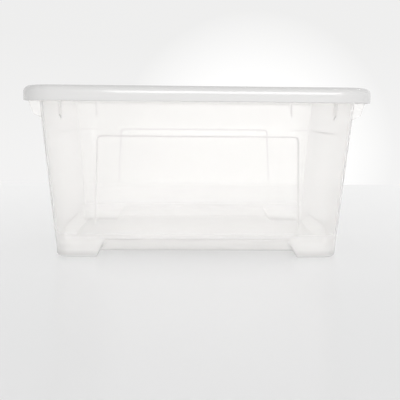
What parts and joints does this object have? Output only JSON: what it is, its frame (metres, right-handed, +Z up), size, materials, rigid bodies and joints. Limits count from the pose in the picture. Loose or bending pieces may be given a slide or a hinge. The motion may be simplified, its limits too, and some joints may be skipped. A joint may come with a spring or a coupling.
{
  "type": "under bed storage box",
  "caption": "Low rectangular clear plastic storage box with sunk wall panels and corner feet, and a milky lift-off lid.",
  "frame": {"origin": "on the floor under the middle of the box", "axes": "+X along the long side, +Y from the long front wall to the long back wall, +Z up"},
  "size_m": [0.4, 0.294, 0.2],
  "materials": {
    "clear_plastic": "clear, slightly warm polypropylene with a soft gloss and a faint haze",
    "milky_plastic": "milky translucent polypropylene, glossy"
  },
  "bodies": {
    "tub": {"tub": "clear_plastic"},
    "lid": {"lid": "milky_plastic"}
  },
  "joints": [
    {"name": "lid_lift", "type": "slide", "parent": "tub", "child": "lid", "axis": [0, 0, 1], "range_m": [0, 0.25]}
  ]
}
